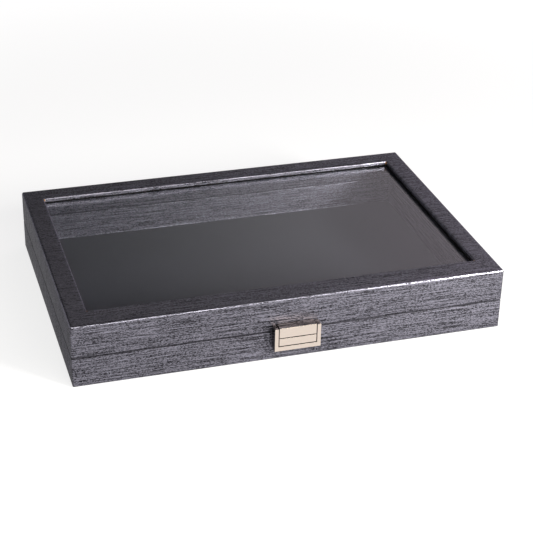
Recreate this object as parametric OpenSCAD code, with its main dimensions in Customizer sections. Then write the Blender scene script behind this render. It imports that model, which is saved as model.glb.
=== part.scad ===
// Watch box: a shallow display case of covered boards, with a glazed lid on two
// butt hinges and a push-button clasp.
// X runs along the width, -Y is the front and Z is up. The origin is the middle
// of the underside. Everything is in millimetres, with the lid closed.

/* [Box] */
// Outer width, left side to right side
box_w = 350; // [280:1:420]
// Outer depth, front face to back face
box_d = 240; // [180:1:300]
// Closed height, underside to the top of the lid
box_h = 53; // [50:0.5:64]
// Height of the seam between base and lid
seam_h = 25.5; // [23:0.5:30]
// Gap between the two rims when the lid is shut
seam_gap = 0.5; // [0.2:0.05:0.6]

/* [Boards and cover] */
// Thickness of the wall boards
wall_t = 6; // [5:0.1:8]
// Thickness of the bottom board
bottom_t = 3; // [2:0.1:5]
// Thickness of the top frame's rails
rail_t = 4; // [3:0.1:6]
// Thickness of the woven-look covering
cover_t = 0.3; // [0.2:0.05:0.5]
// Width of the covering that is turned in under the base
turn_in = 12; // [8:0.5:20]
// Thickness of the felt under the base
felt_t = 0.5; // [0.4:0.1:1]
// Distance of the felt's edge from the sides of the base
felt_inset = 2.5; // [1.5:0.5:6]

/* [Edges] */
// Radius of the upright corners
corner_r = 1.2; // [0.8:0.1:2.5]
// Radius of the lid's top edges
edge_r = 2; // [0.8:0.1:2.5]
// Radius of the edges at the seam and under the base
rim_r = 0.7; // [0.6:0.05:1]
// Radius of the window's top edge
window_r = 1.3; // [0.6:0.1:1.6]

/* [Window] */
// Width of the frame at the sides of the window
side_rail = 16.5; // [12:0.5:30]
// Width of the frame in front of the window
front_rail = 21.5; // [12:0.5:35]
// Width of the frame behind the window
back_rail = 18.5; // [12:0.5:35]
// Thickness of the glass
glass_t = 2; // [1.5:0.1:4]
// Clearance of the glass inside the lid's walls
glass_gap = 0.5; // [0.3:0.1:1]

/* [Lining and floor] */
// Thickness of the collar boards that line the base
collar_t = 1.6; // [1.2:0.1:3]
// Height of the collar above the seam
collar_rise = 3.7; // [2:0.1:6]
// Clearance between the collar and the lid
collar_gap = 0.4; // [0.3:0.05:0.8]
// Thickness of the boards that line the lid
lining_t = 1.2; // [0.8:0.1:2]
// Thickness of the card in the floor pad
card_t = 1.2; // [0.8:0.1:3]
// Thickness of the flocked facing on the card
flock_t = 0.6; // [0.4:0.1:1]
// Clearance of the floor pad inside the collar
pad_gap = 0.2; // [0.1:0.05:0.5]

/* [Clasp] */
// Width of the clasp
clasp_w = 37.3; // [32:0.1:48]
// Depth of the clasp, from the face of the box
clasp_depth = 8.4; // [8:0.1:10]
// Reach of the clasp housing below the seam
clasp_below = 13.5; // [13:0.1:16]
// Reach of the housing's arms above the seam
clasp_above = 6.1; // [5:0.1:9]
// Width of each arm of the housing
arm_w = 2.9; // [2.6:0.1:4]
// Height of the housing's lower bar
sill_h = 3.7; // [3.4:0.1:4.5]
// Width of the groove round the button and the hasp
groove = 0.7; // [0.5:0.05:1]
// Reach of the hasp below the seam
hasp_below = 2; // [1.5:0.1:3]
// Height of the hasp above the arms
hasp_rise = 0.5; // [0:0.1:1.5]
// Wall thickness of the hasp casting
hasp_wall = 1.6; // [1.2:0.1:2]
// Width of the hasp's tongue
tongue_w = 12; // [9:0.5:14]
// Thickness of the hasp's tongue
tongue_t = 1.2; // [1:0.1:1.4]
// Thickness of the plate that closes the housing's back
plate_t = 1.2; // [1:0.1:1.4]
// Thickness of the catch spring
spring_t = 0.4; // [0.3:0.05:0.5]
// Travel of the push button
press = 1.5; // [1.2:0.1:1.6]
// Distance between the clasp's screws
clasp_screw_pitch = 23; // [18:0.5:26]
// Distance between the hasp's screws
hasp_screw_pitch = 18; // [12:0.5:22]

/* [Hinges] */
// Distance between the centres of the two hinges
hinge_pitch = 210; // [120:1:230]
// Length of a hinge along the box
hinge_w = 32; // [26:1:50]
// Length of a hinge's middle knuckle
middle_knuckle = 11.6; // [9:0.1:14]
// Height of a hinge leaf from the pin's centre
leaf_h = 10.5; // [9:0.5:14]
// Thickness of a hinge leaf
leaf_t = 1; // [0.8:0.1:1.2]
// Radius of the knuckles
knuckle_r = 1.9; // [1.7:0.1:2.3]
// Radius of the hinge pin
pin_r = 0.9; // [0.7:0.05:1.1]
// Radial clearance of the pin in the turning knuckle
pin_fit = 0.05; // [0.03:0.01:0.08]
// Distance between the two screws of a leaf
leaf_screw_pitch = 19; // [16:0.5:21]
// Distance of a leaf's screws from the pin's centre
leaf_screw_reach = 6.5; // [5:0.1:6.6]
// Angle at which the hinges stop the open lid
lid_open = 100; // [92:1:108]
// Reach of the stop heel from the pin's centre
heel_l = 4; // [3.6:0.1:5]

/* [Fits and screws] */
// Gap between pieces that move past each other
body_gap = 0.3; // [0.2:0.05:0.4]
// Radius of every screw's shank
screw_r = 1; // [0.8:0.1:1.2]
// Radius of every countersunk head
head_r = 1.9; // [1.6:0.1:2.1]
// Clearance round a screw's shank
screw_fit = 0.05; // [0.02:0.01:0.1]
// Length of the hinge screws below the leaf
wood_screw_l = 5; // [3.5:0.1:5.2]
// Depth of thread in the clasp castings
thread_l = 4; // [3:0.1:4.5]

/* [Hidden] */
$fn = 48;

// Colours of the finishes
cover_colour = "#4b4b53";
board_colour = "#b08a5e";
flock_colour = "#26262b";
felt_colour = "#1c1c1f";
glass_colour = [0.82, 0.88, 0.87, 0.25];
plated_colour = "#dccfc0";
steel_colour = "#9c9ea3";

// A cut runs this far past the face it opens
past = 1;

// Heights of the box's layers
base_rim = seam_h - seam_gap / 2;
lid_rim = seam_h + seam_gap / 2;
board_low = felt_t + cover_t;
bottom_top = board_low + bottom_t;
rail_low = box_h - cover_t - rail_t;
glass_top = rail_low - cover_t;
glass_low = glass_top - glass_t;
collar_top = seam_h + collar_rise;
lining_low = collar_top + collar_gap;

// Depth of each wall's layers, measured in from the outside of the box
base_wall_in = cover_t + wall_t;
base_skin_in = base_wall_in + cover_t;
collar_in = base_skin_in + collar_t;
lid_skin_in = base_skin_in - collar_gap;
lid_wall_in = lid_skin_in - cover_t;
lining_in = lid_skin_in + lining_t;

// Window in the top frame
window_w = box_w - 2 * side_rail;
window_d = box_d - front_rail - back_rail;
window_y = (front_rail - back_rail) / 2;

// Clasp, whose depths are measured out from the face of the box
clasp_low = seam_h - clasp_below;
arm_top = seam_h + clasp_above;
sill_top = clasp_low + sill_h;
bay_w = clasp_w - 2 * arm_w;
insert_w = bay_w - 2 * groove;
hasp_low = seam_h - hasp_below;
hasp_top = arm_top + hasp_rise;
button_low = sill_top + groove;
button_top = hasp_low - groove;
plate_margin = 0.7;
plate_low = clasp_low + plate_margin;
plate_top = button_top;
plate_w = clasp_w - 2 * arm_w - 2 * body_gap;
clasp_screw_z = clasp_low + sill_h / 2;
hasp_screw_rise = 3.25;
hasp_screw_z = lid_rim + hasp_screw_rise;
boss_wall = 1.4;

// Catch inside the clasp: spring behind, tongue in the middle, button in front
blade_back = plate_t + press;
blade_front = blade_back + spring_t;
tongue_back = blade_front + body_gap;
tongue_front = tongue_back + tongue_t;
button_back = tongue_front + body_gap;
pocket_front = tongue_front + press + body_gap;
tooth_h = 1.8;
tooth_w = 5.8;
slot_gap = 0.25;
catch_drop = 2.1;
catch_z = button_top - catch_drop;
tongue_end = 2.9;
tongue_low = catch_z - tongue_end;
blade_h = 3;
blade_side = 4;
blade_w = tongue_w + 2 * blade_side;
foot_h = 2.1;
foot_w = 8;
foot_low = sill_top + body_gap;
rivet_r = 0.7;
rivet_head_r = 0.95;
rivet_head_h = 0.4;
rivet_pitch = 5;
post_w = 2.4;
post_inset = 0.9;
post_x = tongue_w / 2 + body_gap + post_inset + post_w / 2;
post_h = 2.6;
ear_l = 1.4;
ear_t = 1.2;
ear_h = 4.4;

// Hinges
axis_y = box_d / 2 + knuckle_r + body_gap;
leaf_skin = axis_y - box_d / 2;
outer_knuckle = (hinge_w - middle_knuckle) / 2 - body_gap;
heel_t = 1.2;
heel_gap = 0.2;
heel_inset = 0.5;
pin_head_r = 1.35;
pin_head_t = 0.4;
head_h = head_r - screw_r;
recess_w = 0.45;

// ---------- shapes that repeat ----------

// Rectangle with round corners, its middle at the origin
module round_rect(w, d, r) {
  square([w - 2 * r, d], center = true);
  square([w, d - 2 * r], center = true);
  for (x = [-1, 1], y = [-1, 1])
    translate([x * (w / 2 - r), y * (d / 2 - r)]) circle(r);
}

// Upright outline with one radius at its lower corners and one at its upper corners
module round_outline(w, low, high, low_r, high_r) {
  translate([-w / 2, low + low_r]) square([w, high - low - low_r - high_r]);
  translate([-w / 2 + low_r, low]) square([w - 2 * low_r, low_r]);
  translate([-w / 2 + high_r, high - high_r]) square([w - 2 * high_r, high_r]);
  for (x = [-1, 1]) {
    translate([x * (w / 2 - low_r), low + low_r]) circle(low_r);
    translate([x * (w / 2 - high_r), high - high_r]) circle(high_r);
  }
}

// Runs an outline drawn in Y and Z along X
module along_x(l) {
  rotate([90, 0, 90]) linear_extrude(l, center = true) children();
}

// Runs an outline drawn in X and Z along Y
module along_y(l) {
  rotate([90, 0, 0]) linear_extrude(l, center = true) children();
}

// Block with its upright, lower and upper edges rounded
module soft_block(w, d, low, high, low_r, high_r, upright_r) {
  intersection() {
    translate([0, 0, low]) linear_extrude(high - low) round_rect(w, d, upright_r);
    along_x(w) round_outline(d, low, high, low_r, high_r);
    along_y(d) round_outline(w, low, high, low_r, high_r);
  }
}

// Plain block centred in plan, between two heights
module slab(w, d, low, high) {
  translate([-w / 2, -d / 2, low]) cube([w, d, high - low]);
}

// Block in front of the box's face, between two depths and two heights
module face_block(w, near, far, low, high, x = 0) {
  translate([x - w / 2, -box_d / 2 - far, low]) cube([w, far - near, high - low]);
}

// Outline of an opening whose top edge flares out round a radius
module flared_outline(w, low, high, r) {
  translate([-w / 2, low]) square([w, high - low + past]);
  difference() {
    translate([-w / 2 - r, high - r]) square([w + 2 * r, r + past]);
    for (x = [-1, 1]) translate([x * (w / 2 + r), high - r]) circle(r);
  }
}

// The window's opening, grown by a given amount on every side
module window_cut(grow, high, r) {
  w = window_w + 2 * grow;
  d = window_d + 2 * grow;
  translate([0, window_y, 0]) intersection() {
    along_x(w + 4 * r) flared_outline(d, seam_h, high, r);
    along_y(d + 4 * r) flared_outline(w, seam_h, high, r);
  }
}

// Countersunk screw along +Z: head flush at the origin, shank pointing down
module screw(l) {
  difference() {
    union() {
      translate([0, 0, -head_h]) cylinder(h = head_h, r1 = screw_r, r2 = head_r);
      translate([0, 0, -l]) cylinder(h = l - head_h, r = screw_r);
    }
    for (a = [0, 90]) rotate(a)
      translate([-head_r * 0.6, -recess_w / 2, -head_h * 0.7])
        cube([head_r * 1.2, recess_w, head_h]);
  }
}

// Countersunk hole that the screw above goes in
module screw_hole(l) {
  translate([0, 0, -head_h]) cylinder(h = head_h, r1 = screw_r + screw_fit, r2 = head_r + screw_fit);
  translate([0, 0, -l - screw_fit]) cylinder(h = l, r = screw_r + screw_fit);
  cylinder(h = past, r = head_r + screw_fit);
}

// ---------- base: boards and cover ----------

module base_board_block() {
  soft_block(box_w - 2 * cover_t, box_d - 2 * cover_t, board_low, base_rim - cover_t,
             rim_r - cover_t, rim_r - cover_t, corner_r - cover_t);
}

// One long wall board of the base, side -1 at the front and 1 at the back
module base_long_board(side) {
  intersection() {
    base_board_block();
    translate([0, side * (box_d / 2 - base_wall_in / 2), 0])
      slab(box_w, base_wall_in, 0, seam_h);
  }
}

// One short wall board of the base, between the long ones
module base_short_board(side) {
  intersection() {
    base_board_block();
    translate([side * (box_w / 2 - base_wall_in / 2), 0, 0])
      slab(base_wall_in, box_d - 2 * base_wall_in, 0, seam_h);
  }
}

module base_front_board() {
  color(board_colour) difference() {
    base_long_board(-1);
    clasp_screw_holes();
  }
}

module base_back_board() {
  color(board_colour) difference() {
    base_long_board(1);
    base_hinge_screw_holes();
  }
}

module base_left_board() {
  color(board_colour) base_short_board(-1);
}

module base_right_board() {
  color(board_colour) base_short_board(1);
}

module base_bottom_board() {
  color(board_colour)
    slab(box_w - 2 * base_wall_in, box_d - 2 * base_wall_in, board_low, bottom_top);
}

// The covering runs up the outside, over the rim and down the inside of the
// walls, and is turned in under the bottom
module base_cover() {
  color(cover_colour) difference() {
    soft_block(box_w, box_d, felt_t, base_rim, rim_r, rim_r, corner_r);
    difference() {
      base_board_block();
      slab(box_w - 2 * base_wall_in, box_d - 2 * base_wall_in, bottom_top, seam_h);
    }
    slab(box_w - 2 * base_skin_in, box_d - 2 * base_skin_in, bottom_top, seam_h);
    slab(box_w - 2 * turn_in, box_d - 2 * turn_in, 0, board_low);
    clasp_screw_holes();
    base_hinge_screw_holes();
  }
}

// Felt glued over the turned-in cover; its middle is thicker, up to the board
module underside_felt() {
  color(felt_colour) {
    slab(box_w - 2 * felt_inset, box_d - 2 * felt_inset, 0, felt_t);
    slab(box_w - 2 * turn_in, box_d - 2 * turn_in, 0, board_low);
  }
}

// ---------- base: collar and floor pad ----------

module collar_long(side) {
  color(cover_colour) translate([0, side * (box_d / 2 - base_skin_in - collar_t / 2), 0])
    slab(box_w - 2 * base_skin_in, collar_t, bottom_top, collar_top);
}

module collar_short(side) {
  color(cover_colour) translate([side * (box_w / 2 - base_skin_in - collar_t / 2), 0, 0])
    slab(collar_t, box_d - 2 * collar_in, bottom_top, collar_top);
}

module collar_front() collar_long(-1);
module collar_back() collar_long(1);
module collar_left() collar_short(-1);
module collar_right() collar_short(1);

module pad_card() {
  inset = collar_in + pad_gap + flock_t;
  color(board_colour)
    slab(box_w - 2 * inset, box_d - 2 * inset, bottom_top, bottom_top + card_t);
}

// The facing covers the card's top and is folded down over its edges
module pad_flock() {
  inset = collar_in + pad_gap;
  color(flock_colour) difference() {
    slab(box_w - 2 * inset, box_d - 2 * inset, bottom_top, bottom_top + card_t + flock_t);
    slab(box_w - 2 * (inset + flock_t), box_d - 2 * (inset + flock_t),
         bottom_top - past, bottom_top + card_t);
  }
}

// ---------- base: clasp ----------

// Places for the clasp's screws, whose heads lie in the inside of the front board
module at_clasp_screws() {
  for (x = [-1, 1])
    translate([x * clasp_screw_pitch / 2, -box_d / 2 + base_skin_in, clasp_screw_z])
      rotate([-90, 0, 0]) children();
}

clasp_screw_l = base_skin_in + plate_t + thread_l;

module clasp_screw_holes() {
  at_clasp_screws() screw_hole(clasp_screw_l);
}

module clasp_screws() {
  color(steel_colour) at_clasp_screws() screw(clasp_screw_l);
}

// Die-cast frame round the button and the hasp: a lower bar and two arms.
// Above the seam the arms stand clear of the lid.
module clasp_housing() {
  ear_slot_w = insert_w + 2 * ear_l + 2 * body_gap;
  ear_mid = (button_low + button_top) / 2;
  color(plated_colour) difference() {
    union() {
      face_block(clasp_w, 0, clasp_depth, clasp_low, base_rim);
      face_block(clasp_w, body_gap, clasp_depth, clasp_low, arm_top);
    }
    face_block(bay_w, -past, clasp_depth + past, sill_top, arm_top + past);
    face_block(plate_w + body_gap, -past, plate_t, plate_low, plate_top);
    face_block(ear_slot_w, -past, button_back + ear_t + body_gap,
               ear_mid - ear_h / 2 - body_gap, ear_mid + ear_h / 2 + body_gap);
    clasp_screw_holes();
  }
}

// Steel plate that closes the housing's back and carries the catch spring
module clasp_back_plate() {
  color(steel_colour) difference() {
    face_block(plate_w, 0, plate_t, plate_low, plate_top);
    clasp_screw_holes();
    at_rivets() cylinder(h = 2 * plate_t, r = rivet_r, center = true);
  }
}

// Places of the rivets on the face of the back plate, pointing outwards
module at_rivets() {
  for (x = [-1, 1])
    translate([x * rivet_pitch / 2, -box_d / 2 - plate_t, foot_low + foot_h / 2])
      rotate([90, 0, 0]) children();
}

module catch_rivets() {
  color(steel_colour) at_rivets() {
    translate([0, 0, -plate_t]) cylinder(h = plate_t + spring_t, r = rivet_r);
    translate([0, 0, spring_t]) cylinder(h = rivet_head_h, r = rivet_head_r);
  }
}

// Bent strip of spring steel: a foot on the back plate, a slanting leg, a wide
// blade that the button pushes on, and the tooth that holds the hasp's tongue
module catch_spring() {
  blade_low = catch_z - blade_h / 2;
  foot_top = foot_low + foot_h;
  color(steel_colour) {
    difference() {
      face_block(foot_w, plate_t, plate_t + spring_t, foot_low, foot_top);
      at_rivets() cylinder(h = 4 * spring_t, r = rivet_r, center = true);
    }
    translate([0, -box_d / 2, 0]) rotate([90, 0, -90])
      linear_extrude(foot_w, center = true) polygon([
        [plate_t, foot_top], [plate_t + spring_t, foot_top],
        [blade_front, blade_low], [blade_back, blade_low]
      ]);
    face_block(blade_w, blade_back, blade_front, blade_low, catch_z + blade_h / 2);
    face_block(tooth_w, blade_front, tongue_front, catch_z - tooth_h / 2, catch_z + tooth_h / 2);
  }
}

// ---------- button ----------

// The button fills the lower part of the bay. Its ears keep it in the housing
// and its two posts reach past the tongue to the catch spring.
module push_button() {
  mid = (button_low + button_top) / 2;
  color(plated_colour) {
    difference() {
      face_block(insert_w, button_back, clasp_depth, button_low, button_top);
      face_block(tongue_w + 2 * body_gap, button_back - past, pocket_front,
                 button_low - past, button_top + past);
    }
    for (x = [-1, 1])
      face_block(post_w, tongue_back, button_back, catch_z - post_h / 2, catch_z + post_h / 2,
                 x * post_x);
    for (x = [-1, 1])
      face_block(ear_l, button_back, button_back + ear_t, mid - ear_h / 2, mid + ear_h / 2,
                 x * (insert_w + ear_l) / 2);
  }
}

// ---------- hinges ----------

// Places of the two hinges, with the pin's centre at the origin
module at_hinge(side) {
  translate([side * hinge_pitch / 2, axis_y, seam_h]) children();
}

// Flat of a leaf: from one height to another over a length, against the box's back
module leaf_flat(l, low, high, x = 0) {
  translate([x - l / 2, -leaf_skin, low]) cube([l, leaf_t, high - low]);
}

module knuckle(l, x = 0) {
  translate([x, 0, 0]) rotate([0, 90, 0]) cylinder(h = l, r = knuckle_r, center = true);
}

module pin_bore(r) {
  rotate([0, 90, 0]) cylinder(h = 2 * hinge_w, r = r, center = true);
}

// Places of a leaf's screws, up -1 on the base and 1 on the lid
module at_leaf_screws(up) {
  for (x = [-1, 1])
    translate([x * leaf_screw_pitch / 2, leaf_t - leaf_skin, up * leaf_screw_reach])
      rotate([-90, 0, 0]) children();
}

module base_hinge_screw_holes() {
  for (side = [-1, 1]) at_hinge(side) at_leaf_screws(-1) screw_hole(leaf_t + wood_screw_l);
}

module lid_hinge_screw_holes() {
  for (side = [-1, 1]) at_hinge(side) at_leaf_screws(1) screw_hole(leaf_t + wood_screw_l);
}

module base_hinge_screws() {
  color(steel_colour)
    for (side = [-1, 1]) at_hinge(side) at_leaf_screws(-1) screw(leaf_t + wood_screw_l);
}

module lid_hinge_screws() {
  color(steel_colour)
    for (side = [-1, 1]) at_hinge(side) at_leaf_screws(1) screw(leaf_t + wood_screw_l);
}

// Leaf on the base, with the two outer knuckles
module base_leaf(side) {
  clear = knuckle_r + body_gap;
  outer_x = (hinge_w - outer_knuckle) / 2;
  color(steel_colour) difference() {
    at_hinge(side) union() {
      leaf_flat(hinge_w, -leaf_h, -clear);
      for (x = [-1, 1]) {
        leaf_flat(outer_knuckle, -clear, 0, x * outer_x);
        knuckle(outer_knuckle, x * outer_x);
      }
    }
    at_hinge(side) pin_bore(pin_r);
    base_hinge_screw_holes();
  }
}

// Leaf on the lid, with the middle knuckle and the heel that stops the lid
module lid_leaf(side) {
  clear = knuckle_r + body_gap;
  heel_y = leaf_t - leaf_skin + heel_gap;
  heel_w = middle_knuckle - 2 * heel_inset;
  heel_root = (pin_r + knuckle_r) / 2;
  color(steel_colour) difference() {
    at_hinge(side) union() {
      leaf_flat(hinge_w, clear, leaf_h);
      leaf_flat(middle_knuckle, 0, clear);
      knuckle(middle_knuckle);
      rotate([lid_open, 0, 0])
        translate([-heel_w / 2, heel_y, -heel_l]) cube([heel_w, heel_t, heel_l - heel_root]);
    }
    at_hinge(side) pin_bore(pin_r + pin_fit);
    lid_hinge_screw_holes();
  }
}

module left_hinge_base_leaf() base_leaf(-1);
module right_hinge_base_leaf() base_leaf(1);
module left_hinge_lid_leaf() lid_leaf(-1);
module right_hinge_lid_leaf() lid_leaf(1);

module hinge_pins() {
  color(steel_colour) for (side = [-1, 1]) at_hinge(side) rotate([0, 90, 0]) {
    cylinder(h = hinge_w, r = pin_r, center = true);
    for (z = [-1, 1]) translate([0, 0, z * (hinge_w + pin_head_t) / 2])
      cylinder(h = pin_head_t, r = pin_head_r, center = true);
  }
}

// ---------- lid: boards, frame and cover ----------

module lid_board_block() {
  soft_block(box_w - 2 * cover_t, box_d - 2 * cover_t, lid_rim + cover_t, box_h - cover_t,
             rim_r - cover_t, edge_r - cover_t, corner_r - cover_t);
}

module lid_long_board(side) {
  intersection() {
    lid_board_block();
    translate([0, side * (box_d / 2 - lid_wall_in / 2), 0])
      slab(box_w, lid_wall_in, seam_h, rail_low);
  }
}

module lid_short_board(side) {
  intersection() {
    lid_board_block();
    translate([side * (box_w / 2 - lid_wall_in / 2), 0, 0])
      slab(lid_wall_in, box_d - 2 * lid_wall_in, seam_h, rail_low);
  }
}

module lid_front_board() {
  color(board_colour) difference() {
    lid_long_board(-1);
    hasp_screw_holes();
  }
}

module lid_back_board() {
  color(board_colour) difference() {
    lid_long_board(1);
    lid_hinge_screw_holes();
  }
}

module lid_left_board() {
  color(board_colour) lid_short_board(-1);
}

module lid_right_board() {
  color(board_colour) lid_short_board(1);
}

// The part of the top frame that lies between given limits in plan
module rail(x0, x1, y0, y1) {
  color(board_colour) difference() {
    intersection() {
      lid_board_block();
      translate([x0, y0, rail_low]) cube([x1 - x0, y1 - y0, rail_t + past]);
    }
    window_cut(cover_t, box_h - cover_t, window_r - cover_t);
  }
}

window_side = window_w / 2 + cover_t;
window_front = window_y - window_d / 2 - cover_t;
window_back = window_y + window_d / 2 + cover_t;

module top_front_rail() rail(-box_w / 2, box_w / 2, -box_d / 2, window_front);
module top_back_rail() rail(-box_w / 2, box_w / 2, window_back, box_d / 2);
module top_left_rail() rail(-box_w / 2, -window_side, window_front, window_back);
module top_right_rail() rail(window_side, box_w / 2, window_front, window_back);

// The covering runs over the frame, down the outside and round the rim to the
// inside, and through the window to the frame's underside
module lid_cover() {
  color(cover_colour) difference() {
    soft_block(box_w, box_d, lid_rim, box_h, rim_r, edge_r, corner_r);
    difference() {
      lid_board_block();
      slab(box_w - 2 * lid_wall_in, box_d - 2 * lid_wall_in, seam_h, rail_low);
      window_cut(cover_t, box_h - cover_t, window_r - cover_t);
    }
    slab(box_w - 2 * lid_skin_in, box_d - 2 * lid_skin_in, seam_h, glass_top);
    window_cut(0, box_h, window_r);
    hasp_screw_holes();
    lid_hinge_screw_holes();
  }
}

module glass_pane() {
  inset = lid_skin_in + glass_gap;
  color(glass_colour) slab(box_w - 2 * inset, box_d - 2 * inset, glass_low, glass_top);
}

// ---------- lid: lining ----------

module lining_long(side) {
  color(cover_colour) translate([0, side * (box_d / 2 - lid_skin_in - lining_t / 2), 0])
    slab(box_w - 2 * lid_skin_in, lining_t, lining_low, glass_low);
}

module lining_short(side) {
  color(cover_colour) translate([side * (box_w / 2 - lid_skin_in - lining_t / 2), 0, 0])
    slab(lining_t, box_d - 2 * lining_in, lining_low, glass_low);
}

module lid_lining_front() lining_long(-1);
module lid_lining_back() lining_long(1);
module lid_lining_left() lining_short(-1);
module lid_lining_right() lining_short(1);

// ---------- lid: hasp ----------

module at_hasp_screws() {
  for (x = [-1, 1])
    translate([x * hasp_screw_pitch / 2, -box_d / 2 + lid_skin_in, hasp_screw_z])
      rotate([-90, 0, 0]) children();
}

hasp_screw_l = lid_skin_in + thread_l;

module hasp_screw_holes() {
  at_hasp_screws() screw_hole(hasp_screw_l);
}

module hasp_screws() {
  color(steel_colour) at_hasp_screws() screw(hasp_screw_l);
}

// Die-cast block on the lid with a slotted tongue. Its back is hollow round two
// screw bosses, and below the seam it stands clear of the base.
module hasp() {
  boss_r = screw_r + boss_wall;
  slot_w = tooth_w + 2 * slot_gap;
  slot_h = tooth_h + 2 * slot_gap;
  color(plated_colour) difference() {
    union() {
      face_block(insert_w, body_gap, clasp_depth, hasp_low, hasp_top);
      face_block(insert_w, 0, clasp_depth, lid_rim, hasp_top);
      face_block(tongue_w, tongue_back, tongue_front, tongue_low, hasp_low);
    }
    difference() {
      face_block(insert_w - 2 * hasp_wall, -past, clasp_depth - hasp_wall,
                 lid_rim + hasp_wall, hasp_top - hasp_wall);
      at_hasp_screws() cylinder(h = 4 * clasp_depth, r = boss_r, center = true);
    }
    face_block(slot_w, tongue_back - past, tongue_front + past,
               catch_z - slot_h / 2, catch_z + slot_h / 2);
    hasp_screw_holes();
  }
}

base_front_board();
base_back_board();
base_left_board();
base_right_board();
base_bottom_board();
base_cover();
underside_felt();
collar_front();
collar_back();
collar_left();
collar_right();
pad_card();
pad_flock();
clasp_housing();
clasp_back_plate();
catch_spring();
catch_rivets();
clasp_screws();
left_hinge_base_leaf();
right_hinge_base_leaf();
hinge_pins();
base_hinge_screws();
lid_front_board();
lid_back_board();
lid_left_board();
lid_right_board();
top_front_rail();
top_back_rail();
top_left_rail();
top_right_rail();
lid_cover();
glass_pane();
lid_lining_front();
lid_lining_back();
lid_lining_left();
lid_lining_right();
hasp();
hasp_screws();
left_hinge_lid_leaf();
right_hinge_lid_leaf();
lid_hinge_screws();
push_button();
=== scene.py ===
import math

import bmesh
import bpy
from mathutils import Matrix, Vector


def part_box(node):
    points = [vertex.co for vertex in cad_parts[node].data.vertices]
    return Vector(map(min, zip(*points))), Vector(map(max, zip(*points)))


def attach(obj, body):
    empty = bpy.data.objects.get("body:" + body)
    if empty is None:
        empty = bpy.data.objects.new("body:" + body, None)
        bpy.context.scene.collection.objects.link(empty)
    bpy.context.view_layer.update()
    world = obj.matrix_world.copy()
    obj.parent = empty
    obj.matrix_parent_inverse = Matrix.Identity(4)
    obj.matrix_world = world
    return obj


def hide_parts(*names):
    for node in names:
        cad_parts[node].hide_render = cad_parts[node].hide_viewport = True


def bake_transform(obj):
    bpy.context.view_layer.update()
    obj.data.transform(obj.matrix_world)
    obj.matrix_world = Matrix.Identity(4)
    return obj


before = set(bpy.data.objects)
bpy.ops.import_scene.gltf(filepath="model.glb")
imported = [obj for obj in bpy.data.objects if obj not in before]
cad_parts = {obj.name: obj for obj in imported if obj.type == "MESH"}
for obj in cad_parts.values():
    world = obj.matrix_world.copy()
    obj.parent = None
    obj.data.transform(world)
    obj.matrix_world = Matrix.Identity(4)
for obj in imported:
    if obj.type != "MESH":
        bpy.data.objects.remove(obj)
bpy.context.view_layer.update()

mm = 0.001

# ---------- studio ----------
# A white table under soft light: a wide strip lamp above the front, a small one low at
# the front right, and dim walls that brighten behind the box on its right.


def linear(hex_colour):
    """The linear colour, with alpha 1, of an sRGB hex value."""
    parts = [int(hex_colour[i:i + 2], 16) / 255 for i in (1, 3, 5)]
    return [c / 12.92 if c <= 0.04045 else ((c + 0.055) / 1.055) ** 2.4 for c in parts] + [1]


def add(tree, kind, inputs=(), **settings):
    """Adds a node. inputs maps its sockets to values, or to sockets that are linked in."""
    made = tree.nodes.new(kind)
    for name, value in settings.items():
        setattr(made, name, value)
    for key, value in dict(inputs).items():
        if isinstance(value, bpy.types.NodeSocket):
            tree.links.new(value, made.inputs[key])
        else:
            made.inputs[key].default_value = value
    return made


def new_object(name, data):
    """An object made from its data and put in the scene."""
    made = bpy.data.objects.new(name, data)
    bpy.context.scene.collection.objects.link(made)
    return made


# A long lens looks down on the box from its front left. The angles are in radians, the
# lens and its sensor in millimetres.
camera_azimuth = -0.30217
camera_elevation = 0.49556
camera_roll = 0.02116
camera_distance = 1247.95 * mm
camera_target = Vector((13.22, 0, 15.54)) * mm
sensor_width = 36
focal_length = 99.006

away = Vector((
    math.sin(camera_azimuth) * math.cos(camera_elevation),
    -math.cos(camera_azimuth) * math.cos(camera_elevation),
    math.sin(camera_elevation),
))
level_right = Vector((0, 0, 1)).cross(away).normalized()
level_up = away.cross(level_right)
right = math.cos(camera_roll) * level_right + math.sin(camera_roll) * level_up
up = away.cross(right)
camera = new_object("camera", bpy.data.cameras.new("camera"))
camera.matrix_world = Matrix.Translation(camera_target + away * camera_distance) @ Matrix((
    right, up, away)).transposed().to_4x4()
camera.data.sensor_width = sensor_width
camera.data.lens = focal_length
camera.data.clip_start = 10 * mm
camera.data.clip_end = 100
bpy.context.scene.camera = camera
bpy.context.scene.view_settings.view_transform = "Standard"


def lamp(name, towards, distance, width, height, level, colour):
    """A rectangular area lamp in a direction from the box, with its lengths in metres. level
    is the light that reaches a white surface facing it, as a share of plain white."""
    data = bpy.data.lights.new(name, "AREA")
    data.shape = "RECTANGLE"
    data.size = width
    data.size_y = height
    data.energy = level * (math.pi * distance) ** 2
    data.color = linear(colour)[:3]
    direction = Vector(towards).normalized()
    made = new_object(name, data)
    made.location = direction * distance
    made.rotation_euler = direction.to_track_quat("Z", "Y").to_euler()


# The strip is as wide as the reflection that the lid's long rounded edge needs.
lamp_white = "#fffdf8"
lamp("strip_lamp", (0.15, -0.8, 0.57), distance=1.2, width=1.3, height=0.25, level=0.87,
     colour=lamp_white)
lamp("key_lamp", (0.668, -0.92, 0.43), distance=1.215, width=0.2, height=0.2, level=1.0,
     colour=lamp_white)

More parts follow.
